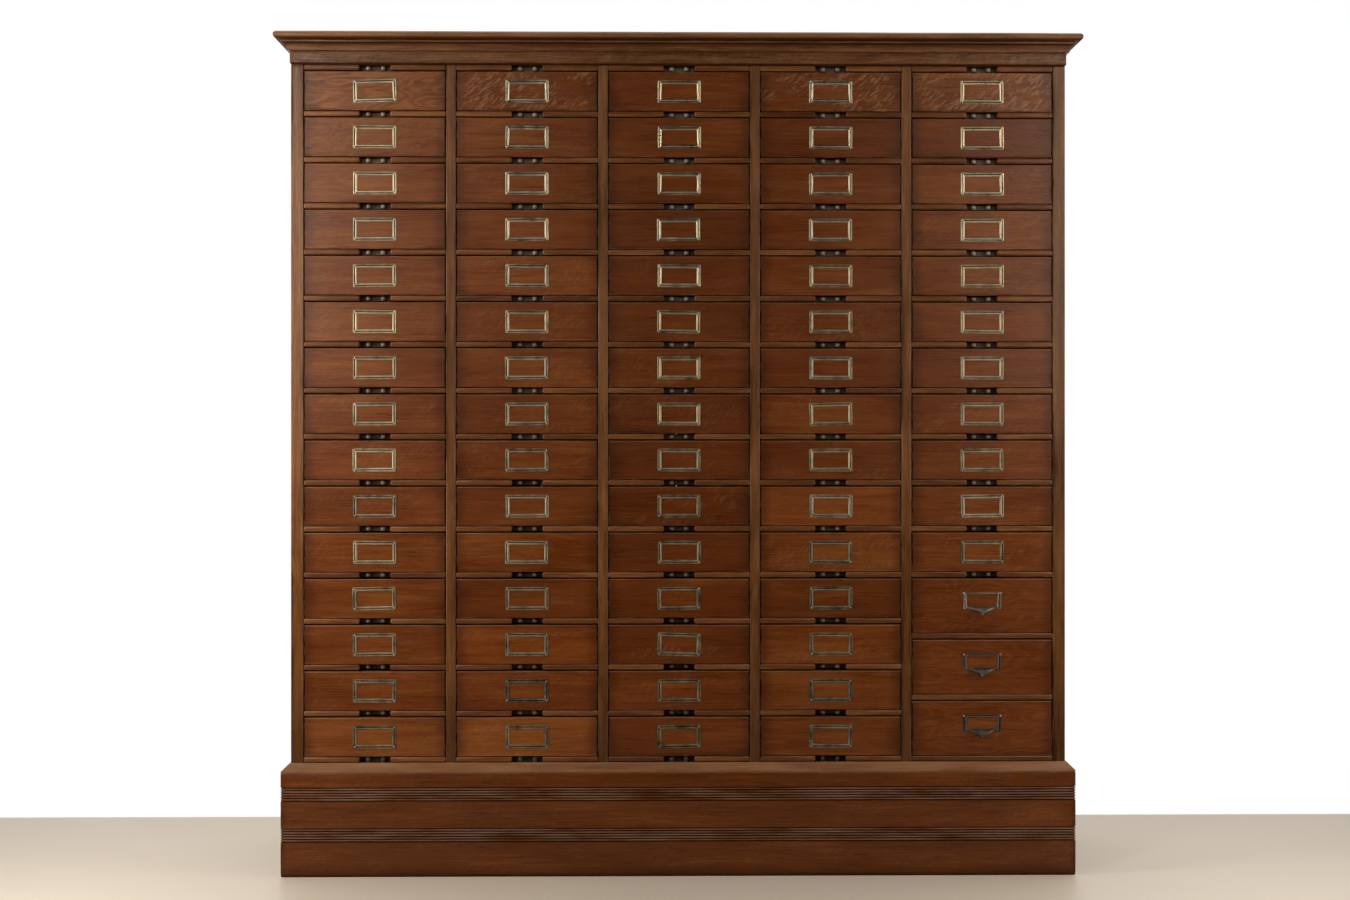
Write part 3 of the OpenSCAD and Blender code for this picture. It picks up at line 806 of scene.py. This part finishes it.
def build_catches():
    """Bent strips with two lobes, one in each notch, on a foot against the shelf."""
    piece = Piece()
    lobe = 5.5 * MM
    pitch = 30 * MM
    strip_t = 0.8 * MM
    front = FRONT_Y + 8 * MM
    strip_y = front + 2 * lobe - strip_t / 2
    lobe_reach = strip_y - front - strip_t / 2
    clear = 1 * MM
    # The strip runs out in wings across the back of the notch, a brown sheet standing in for the
    # notch's shaded back wall
    wing = NOTCH_W / 2 - 0.6 * MM
    hidden_drop = 3 * MM
    foot = 6 * MM
    belly = 0.25
    arc = 10
    for column in range(1, COLUMNS + 1):
        x = column_x(column)
        for level, z in enumerate(rail_levels(column)):
            if not has_notch(column, level):
                continue
            path = [(x - wing, strip_y)]
            for side in (-1, 1):
                for k in range(arc + 1):
                    angle = math.pi * (1 - k / arc)
                    path.append((x + side * pitch / 2 + lobe * math.cos(angle),
                                 strip_y - lobe_reach * math.sin(angle)))
            path.append((x + wing, strip_y))
            # The lowest strips reach down behind the plinth cap
            low = z - hidden_drop if level == ROWS else z + clear
            high = z + RAIL_H - clear
            verts, faces = strip_solid(path, strip_t, low, high)
            centre = np.array([x, strip_y, z + RAIL_H / 2])
            place = np.array(verts) - centre
            from_middle = np.clip(np.abs(place[:, 2]) / (RAIL_H / 2 - clear), 0, 1)
            place[:, 1] *= 1 - belly * from_middle ** 2
            # Painted shade grows towards the back of the notch, and the lobe fronts get a polished,
            # painted highlight; lobes are darker and their highlights weaker lower down
            how_far_down = level / ROWS
            look = (rng.uniform(0.30, 0.48) - 0.3 * how_far_down, rng.uniform(0.1, 0.9), 0)
            back = np.clip((place[:, 1] + 2 * lobe) / (2 * lobe), 0, 1)
            crest_wear_and_highlight = np.clip(1 - 2.2 * back, 0, 1) * np.clip(1.2 - 1.6 * from_middle, 0, 1)
            marks = np.zeros((len(verts), 3))
            marks[:, 0] = np.clip(back * 0.8 - 0.2, 0, 0.40)
            marks[:, 1] = crest_wear_and_highlight * (1 - 0.7 * how_far_down)
            piece.add(place + centre, faces, [True] * len(faces), place,
                      (pitch, lobe, RAIL_H / 2), look, marks)
            piece.board((x - foot, strip_y, low), (x + foot, FRONT_Y + RAIL_D, high), "x",
                        (0.2, 0.5, 0), 0.5 * MM, 1)
    piece.make("spring_catches_steel", catch_steel, BODY, "catch_steel", ["spring_catches"], 50)


def build_back():
    piece = Piece()
    inner = back_low.x
    plank = (-2 * inner) / BACK_PLANKS
    gap = 0.6 * MM
    for k in range(BACK_PLANKS):
        low = (inner + k * plank, back_low.y, back_low.z)
        high = (inner + (k + 1) * plank - gap, back_high.y, back_high.z)
        piece.board(low, high, "z", wood_look(0.48, 0.14, 0.4), 1.6 * MM, 2)
    piece.make("back_boards_wood", back_wood, BODY, "back_wood", ["back_boards"])


# ---- Drawers

def add_dovetails(piece, x, side, low, high, look):
    """Tails of a drawer side, let into the end of the front."""
    count = 3
    lap = 6 * MM
    proud = 0.12 * MM
    flare = 1.6 * MM
    outer = x + side * (FRONT_W / 2 + proud)
    inner = x + side * (FRONT_W / 2 - BOX_T)
    pitch = (high - low) / count
    root, tip = pitch * 0.30, pitch * 0.30 + flare
    y_root, y_tip = FRONT_Y + FRONT_T + GLUE, FRONT_Y + lap
    for k in range(count):
        middle = low + (k + 0.5) * pitch
        verts = []
        for end in (inner, outer):
            verts += [(end, y_root, middle - root), (end, y_root, middle + root),
                      (end, y_tip, middle + tip), (end, y_tip, middle - tip)]
        faces = tube_faces(2, 4) + [[0, 1, 2, 3], [7, 6, 5, 4]]
        centre = np.array([(inner + outer) / 2, (y_root + y_tip) / 2, middle])
        place = (np.array(verts) - centre)[:, GRAIN_ORDER["y"]]
        piece.add(verts, fix_normals(verts, faces), [False] * len(faces), place,
                  (8 * MM, BOX_T / 2, tip), look)


def build_drawer(name, body, nodes, x, low_z, height, look):
    """Front and box of one drawer whose front starts at low_z."""
    half = FRONT_W / 2
    front = Piece()
    front.board((x - half, FRONT_Y, low_z), (x + half, FRONT_Y + FRONT_T, low_z + height), "x",
                look[:3], 1.4 * MM, 3, swirl=look[3])
    front.make(f"{name}_front", drawer_oak, body, "drawer_oak", nodes)
    box = Piece()
    y0 = FRONT_Y + FRONT_T + GLUE
    side_top = low_z + height - SIDE_DROP
    for side in (-1, 1):
        a, b = sorted((x + side * (half - BOX_T), x + side * half))
        side_look = wood_look(0.55, 0.15, 0.3)
        box.board((a, y0, low_z), (b, DRAWER_END, side_top), "y", side_look, 0.9 * MM, 2)
    inner = half - BOX_T - GLUE
    bottom = low_z + BOTTOM_LIFT
    box.board((x - inner, y0, bottom), (x + inner, DRAWER_END, bottom + BOTTOM_T), "y",
              wood_look(0.6, 0.1, 0.3), 0.4 * MM, 1)
    back_z = bottom + BOTTOM_T + GLUE
    box.board((x - inner, DRAWER_END - BOX_T, back_z),
              (x + inner, DRAWER_END, low_z + height - BACK_DROP), "x",
              wood_look(0.5, 0.1, 0.3), 0.9 * MM, 2)
    for side in (-1, 1):
        add_dovetails(box, x, side, low_z + 2 * MM, side_top - 1 * MM, wood_look(0.5, 0.1, 0.3))
    box.make(f"{name}_box", inner_wood, body, "inner_wood", nodes)


def ring(width, height, radius, steps=2):
    """A rectangle with round corners, counter-clockwise, as (x, z) points."""
    points = []
    for cx, cz, start in ((1, 1, 0), (-1, 1, 90), (-1, -1, 180), (1, -1, 270)):
        for k in range(steps + 1):
            angle = math.radians(start + 90 * k / steps)
            points.append((cx * (width / 2 - radius) + radius * math.cos(angle),
                           cz * (height / 2 - radius) + radius * math.sin(angle)))
    return points


def loft(rings):
    """Closed tube of rings, the last one joined to the first."""
    verts = [p for points in rings for p in points]
    return verts, fix_normals(verts, tube_faces(len(rings), len(rings[0]), closed=True))


def dome(x, y, z, radius, rise, sides=12):
    """A round pin head on the plane y, standing out towards -Y."""
    levels = [(1.0, 0.0), (1.0, -rise * 0.45), (0.82, -rise * 0.8), (0.45, -rise)]
    verts = []
    for scale, out in levels:
        for k in range(sides):
            a = 2 * math.pi * k / sides
            verts.append((x + radius * scale * math.cos(a), y + out,
                          z + radius * scale * math.sin(a)))
    faces = tube_faces(len(levels), sides)
    faces.append(list(range(sides)))
    faces.append([len(verts) - sides + k for k in range(sides)])
    return verts, fix_normals(verts, faces)


LABEL_W = 86 * MM
LABEL_H = 46 * MM
LABEL_BAR = 8 * MM
LABEL_T = 1.6 * MM
PIN_INSET = 4 * MM
PIN_R = 1.6 * MM
PIN_RISE = 0.8 * MM
# Share of the bar's width from its outer edge, and height over the wood as a share of the
# plate's thickness: a thin rim, a groove and a rolled bead beside the window
BEAD = ((0, 0), (0, 0.45), (0.06, 0.62), (0.16, 0.66), (0.25, 0.40), (0.34, 0.26), (0.50, 0.26),
        (0.56, 0.62), (0.64, 0.90), (0.73, 1.00), (0.82, 0.90), (0.92, 0.55), (1, 0))
GROOVE = (0.34, 0.50)


def add_metal(piece, verts, faces, centre, look, marks=(0, 0, 0)):
    piece.add(verts, faces, [True] * len(faces), np.array(verts) - np.array(centre),
              (0.05, 0.05, 0.05), look, marks)


def turned(verts, x, z, angle):
    """Points turned about the axis that runs forwards through (x, z)."""
    c, s = math.cos(angle), math.sin(angle)
    return [(x + c * (px - x) - s * (pz - z), py, z + s * (px - x) + c * (pz - z))
            for px, py, pz in verts]


def build_label(name, body, nodes, x, z, row, tilt=0.0):
    """Label frame with a pin in each corner. The frames are darker lower down."""
    piece = Piece()
    tilt += rng.gauss(0, math.radians(0.35))
    x += rng.gauss(0, 0.4 * MM)
    how_far_down = (row - 1) / (ROWS - 1)
    y = FRONT_Y - GLUE
    rings, marks = [], []
    for share, rise in BEAD:
        inset = LABEL_BAR * share
        radius = 1.6 * MM * (1 - share) + 0.5 * MM
        flat = ring(LABEL_W - 2 * inset, LABEL_H - 2 * inset, radius)
        rings.append([(x + px, y - LABEL_T * rise, z + pz) for px, pz in flat])
        dirty = 0.85 if share in GROOVE else 0.10 + 0.25 * how_far_down
        # The rolled bead is polished bright, partly a painted highlight, less so lower down
        marks += [(dirty, 0.9 - 0.8 * how_far_down if 0.55 < share < 0.85 else 0.0, 0.0)] * len(flat)
    verts, faces = loft(rings)
    look = (0.62 - 0.36 * how_far_down + rng.uniform(-0.14, 0.14), rng.uniform(0.1, 1.0), 0)
    add_metal(piece, turned(verts, x, z, tilt), faces, (x, y, z), look, marks=marks)
    for sx in (-1, 1):
        for sz in (-1, 1):
            px = x + sx * (LABEL_W / 2 - PIN_INSET)
            pz = z + sz * (LABEL_H / 2 - PIN_INSET)
            verts, faces = dome(px, y - LABEL_T * 0.9, pz, PIN_R, PIN_RISE + LABEL_T * 0.1)
            add_metal(piece, turned(verts, x, z, tilt), faces, (px, y, pz),
                      (0.9 - 0.5 * how_far_down, 0.4, 0))
    piece.make(f"{name}_label_frame", label_brass, body, "label_brass", nodes, 40)


def prism(outline, y0, y1, ease):
    """A plate of this outline with an eased front edge."""
    centre = Vector(np.mean(np.array(outline), axis=0))
    inner = []
    count = len(outline)
    for i, p in enumerate(outline):
        a = (Vector(outline[i - 1]) - Vector(p)).normalized()
        b = (Vector(outline[(i + 1) % count]) - Vector(p)).normalized()
        inward = a + b
        if inward.length < 0.05:
            inward = Vector((-(b - a).y, (b - a).x))
        if inward.dot(centre - Vector(p)) < 0:
            inward = -inward
        inner.append(Vector(p) + inward.normalized() * ease)
    layers = [(outline, y0), (outline, y1 + ease), (inner, y1)]
    verts = [(p[0], y, p[1]) for loop, y in layers for p in loop]
    faces = [list(range(count)), [2 * count + i for i in range(count)]]
    return verts, fix_normals(verts, faces + tube_faces(len(layers), count))


def shell(grid, thickness):
    """A closed skin over a grid of points, thickened backwards."""
    grid = np.array(grid)
    du = np.gradient(grid, axis=0)
    dv = np.gradient(grid, axis=1)
    normal = np.cross(du, dv)
    normal /= np.maximum(np.linalg.norm(normal, axis=2, keepdims=True), 1e-9)
    if normal[..., 1].mean() > 0:
        normal = -normal
    inner = grid - normal * thickness
    rows, cols = grid.shape[:2]
    verts = np.concatenate([grid.reshape(-1, 3), inner.reshape(-1, 3)])
    off = rows * cols
    faces = []
    for i in range(rows - 1):
        for j in range(cols - 1):
            a = i * cols + j
            faces.append([a, a + 1, a + 1 + cols, a + cols])
            faces.append([off + a + cols, off + a + 1 + cols, off + a + 1, off + a])
    rim = [(i, 0) for i in range(rows)] + [(rows - 1, j) for j in range(1, cols)]
    rim += [(i, cols - 1) for i in reversed(range(rows - 1))]
    rim += [(0, j) for j in reversed(range(1, cols - 1))]
    for k, (i, j) in enumerate(rim):
        m, n = rim[(k + 1) % len(rim)]
        a, b = i * cols + j, m * cols + n
        faces.append([a, b, off + b, off + a])
    return verts, fix_normals(verts, faces)


def build_pull(number, body):
    """Label frame with a hood for the fingers, a pointed plate under it and three screws."""
    low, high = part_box(f"cup_pull_{number}")
    x = (low.x + high.x) / 2
    y = FRONT_Y
    top = high.z
    width, height = 76 * MM, 34 * MM
    bar, rail = 8 * MM, 4.5 * MM
    thick, plate_t, ease = 2 * MM, 1.1 * MM, 0.3 * MM
    screw_r = 2.2 * MM
    ear_x, ear_z = width / 2 - 1 * MM, top - screw_r
    # The first pull is brighter
    bright = number == 1
    look = (0.85, 0.8, 0) if bright else (rng.uniform(0.22, 0.30), 0.3, 0)
    piece = Piece()
    centre_z = top - height / 2
    rings, marks = [], []
    for share, rise in BEAD:
        flat = ring(width - 2 * bar * share, height - 2 * rail * share, 0.8 * MM)
        rings.append([(x + px, y - thick * rise, centre_z + pz) for px, pz in flat])
        # The bead is polished bright, partly a painted highlight
        mark = (0.7 if share in GROOVE else 0.0, 0.5 if 0.55 < share < 0.85 else 0.0, 0.0)
        marks += [mark] * len(flat)
    verts, faces = loft(rings)
    add_metal(piece, verts, faces, (x, y, centre_z), look, marks)
    for side in (-1, 1):
        tab_x = x + side * ear_x
        turns = [2 * math.pi * k / 16 for k in range(16)]
        outline = [(tab_x + 4 * MM * math.cos(a), ear_z + screw_r * math.sin(a)) for a in turns]
        verts, faces = prism(outline, y, y - plate_t, ease)
        add_metal(piece, verts, faces, (tab_x, y, ear_z), look)
    base = top - height
    drop = 12 * MM
    cup_half = 26 * MM
    steps = 10
    outline = [(x - cup_half, base + 3 * MM)]
    for side in (-1, 1):
        for k in range(steps + 1)[::-side]:
            t = k / steps
            px = cup_half * (1 - t) + screw_r * t
            outline.append((x + side * px, base - drop * (t ** 1.6)))
    outline.append((x + cup_half, base + 3 * MM))
    verts, faces = prism(outline, y, y - plate_t, ease)
    add_metal(piece, verts, faces, (x, y, base), look)
    grid = []
    cup_out, cup_root = 14 * MM, 1.2 * MM
    for i in range(17):
        u = -1 + i / 8
        row = []
        for j in range(9):
            v = j / 8 * math.pi / 2
            out = cup_root + (cup_out - cup_root) * ((1 - u * u) ** 0.75) * math.sin(v)
            fall = (2.4 * MM + 11 * MM * (1 - abs(u)) ** 1.2) * (1 - math.cos(v))
            row.append((x + u * cup_half * 0.98, y - out, base + 5.0 * MM - fall))
        grid.append(row)
    verts, faces = shell(grid, plate_t)
    add_metal(piece, verts, faces, (x, y, base), (0.42 if bright else 0.28, 0.1, 0))
    nodes = [f"cup_pull_{number}"]
    piece.make(f"cup_pull_{number}_steel", pull_steel, body, "pull_steel", nodes, 40)
    heads = Piece()
    raised = 1.0 * MM
    for px, pz in ((x - ear_x, ear_z), (x + ear_x, ear_z), (x, base - drop + 2.6 * MM)):
        verts, faces = dome(px, y - raised, pz, screw_r * 0.9, 1.5 * MM, 14)
        slotted = np.array(verts)
        in_slot = np.abs(slotted[:, 2] - pz) < 0.5 * MM
        slotted[in_slot & (slotted[:, 1] < y - 2 * raised), 1] += 0.6 * MM
        add_metal(heads, slotted, faces, (px, y, pz), (0.6, 0.4, 0))
    heads.make(f"cup_pull_{number}_screws", screw_brass, body, "pull_steel", nodes, 50)


# Drawers that stand out in the photo: (column, row) to tone, fleck, warmth and swirl
NOTABLE = {
    (1, 1): (0.58, 0.2, 0.0, 1.6),
    (1, 2): (0.55, 0.2, 0.1, 0.5),
    (2, 1): (0.50, 2.4, 0.3, 0.2),
    (4, 1): (0.52, 3.0, 0.2, 0.2),
    (5, 1): (0.55, 4.5, 0.1, 0.2),
    (1, 15): (0.66, 0.2, 0.3, 0.0),
    (2, 15): (0.76, 0.3, 0.5, 0.3),
    (3, 8): (0.32, 0.2, 0.3, 0.0),
    (2, 13): (0.60, 0.2, 0.9, 0.0),
    (4, 10): (0.62, 0.2, 0.9, 0.0),
}
COLUMN_TONE = (0.05, 0.01, -0.11, -0.01, 0.0)
TALL_LOOK = (0.44, 0.08, 0.35, 0.40)
# Label frames that hang crooked, in degrees
ASKEW = {(1, 1): 1.6, (3, 13): -1.8, (1, 12): 0.9}


def build_drawers():
    for column in range(1, COLUMNS + 1):
        x = column_x(column)
        for row, low_z in enumerate(opening_bottoms(column), 1):
            # A tall drawer draws a look too and leaves it unused, which keeps the draws in order
            look = NOTABLE.get((column, row)) or (
                *wood_look(0.52 + COLUMN_TONE[column - 1], 0.09, 0.18, 0.35), 0.0)
            if column == COLUMNS and row > SMALL_ROWS_LAST:
                number = row - SMALL_ROWS_LAST
                name = f"tall_drawer_{number}"
                low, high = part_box(name)
                build_drawer(name, name, [name], x, low.z, high.z - low.z, TALL_LOOK)
                build_pull(number, name)
                continue
            name = f"drawer_c{column}_r{row:02d}"
            node = f"drawer_bank_c{column}" if column <= BANK_COLUMNS else name
            height = first_high.z - first_low.z
            build_drawer(name, node, [node], x, low_z, height, look)
            build_label(name, node, [node], x, low_z + height / 2, row,
                        math.radians(ASKEW.get((column, row), 0.0)))


build_top()
build_cornice()
build_frieze()
build_plinth()
build_cap()
build_uprights()
build_shelves_and_rails()
build_catches()
build_back()
build_drawers()

# ---- Floor, lights and camera

FLOOR_EDGE_Y = FRONT_Y + 0.56
FLOOR_HALF = 6.0
FLOOR_FRONT = -1.2


def build_floor():
    mesh = bpy.data.meshes.new("floor")
    verts = [(-FLOOR_HALF, FLOOR_FRONT, 0), (FLOOR_HALF, FLOOR_FRONT, 0),
             (FLOOR_HALF, FLOOR_EDGE_Y, 0), (-FLOOR_HALF, FLOOR_EDGE_Y, 0)]
    mesh.from_pydata(verts, [], [[0, 1, 2, 3]])
    g = Graph("floor_paint")
    coord = g.tree.nodes.new("ShaderNodeTexCoord").outputs["Object"]
    cloud = g.noise(coord, (1.4, 1.4, 1.4), 3)
    g.link(g.mix(cloud, rgb(0.71, 0.61, 0.51), rgb(0.77, 0.67, 0.57)),
           g.shader.inputs["Base Color"])
    g.shader.inputs["Roughness"].default_value = 0.45
    mesh.materials.append(g.material)
    floor = bpy.data.objects.new("floor", mesh)
    bpy.context.scene.collection.objects.link(floor)


def softbox(name, place, target, size, power, colour=(1, 1, 1)):
    light = bpy.data.lights.new(name, "AREA")
    light.shape = "RECTANGLE"
    light.size, light.size_y = size
    light.energy = power
    light.color = colour
    ob = bpy.data.objects.new(name, light)
    ob.location = place
    ob.rotation_euler = (Vector(target) - Vector(place)).to_track_quat("-Z", "Y").to_euler()
    bpy.context.scene.collection.objects.link(ob)


def build_world():
    """A white backdrop behind the cabinet and a dark studio in front of it."""
    world = bpy.data.worlds.new("studio")
    bpy.context.scene.world = world
    world.use_nodes = True
    tree = world.node_tree
    tree.nodes.clear()
    out = tree.nodes.new("ShaderNodeOutputWorld")
    path = tree.nodes.new("ShaderNodeLightPath")
    coord = tree.nodes.new("ShaderNodeTexCoord")
    split = tree.nodes.new("ShaderNodeSeparateXYZ")
    behind = tree.nodes.new("ShaderNodeMapRange")
    behind.interpolation_type = "SMOOTHSTEP"
    tree.links.new(coord.outputs["Generated"], split.inputs[0])
    tree.links.new(split.outputs[1], behind.inputs["Value"])
    for key, value in (("From Min", -0.05), ("From Max", 0.45), ("To Min", 0.01),
                       ("To Max", 0.95)):
        behind.inputs[key].default_value = value
    seen, lit = tree.nodes.new("ShaderNodeBackground"), tree.nodes.new("ShaderNodeBackground")
    seen.inputs["Color"].default_value = rgb(1, 1, 1)
    lit.inputs["Color"].default_value = rgb(1.0, 0.98, 0.93)
    tree.links.new(behind.outputs[0], lit.inputs["Strength"])
    mix = tree.nodes.new("ShaderNodeMixShader")
    tree.links.new(path.outputs["Is Camera Ray"], mix.inputs["Fac"])
    tree.links.new(lit.outputs[0], mix.inputs[1])
    tree.links.new(seen.outputs[0], mix.inputs[2])
    tree.links.new(mix.outputs[0], out.inputs["Surface"])


def build_camera():
    data = bpy.data.cameras.new("camera")
    data.sensor_width = 36
    data.lens = LENS
    camera = bpy.data.objects.new("camera", data)
    camera.location = (CAMERA_X, FRONT_Y - CAMERA_DISTANCE, CAMERA_HEIGHT)
    camera.rotation_euler = (math.radians(90), 0, CAMERA_TURN)
    bpy.context.scene.collection.objects.link(camera)
    bpy.context.scene.camera = camera


WARM = (1.0, 0.96, 0.85)
LENS = 46.7
CAMERA_X = -0.054
CAMERA_HEIGHT = 0.848
CAMERA_DISTANCE = 3.5
CAMERA_TURN = math.radians(-0.75)

build_floor()
build_world()
softbox("strip_left", (-1.45, -0.72, 1.1), (-0.3, -0.185, 0.9), (0.3, 1.5), 13, WARM)
softbox("strip_right", (1.45, -0.72, 1.15), (0.3, -0.185, 0.9), (0.3, 1.5), 9, WARM)
softbox("side_left", (-1.4, -2.5, 1.75), (-0.9, -0.2, 1.2), (0.35, 1.5), 14.5, WARM)
softbox("side_right", (1.4, -2.5, 1.7), (0.9, -0.2, 1.2), (0.35, 1.5), 8, WARM)
softbox("key_left", (-1.6, -2.5, 2.5), (-0.4, -0.2, 1.1), (0.8, 0.8), 3, WARM)
softbox("over", (0.0, -0.12, 3.4), (0.0, -0.12, 0.0), (4.0, 0.6), 27)
build_camera()
bpy.context.scene.view_settings.view_transform = "Standard"
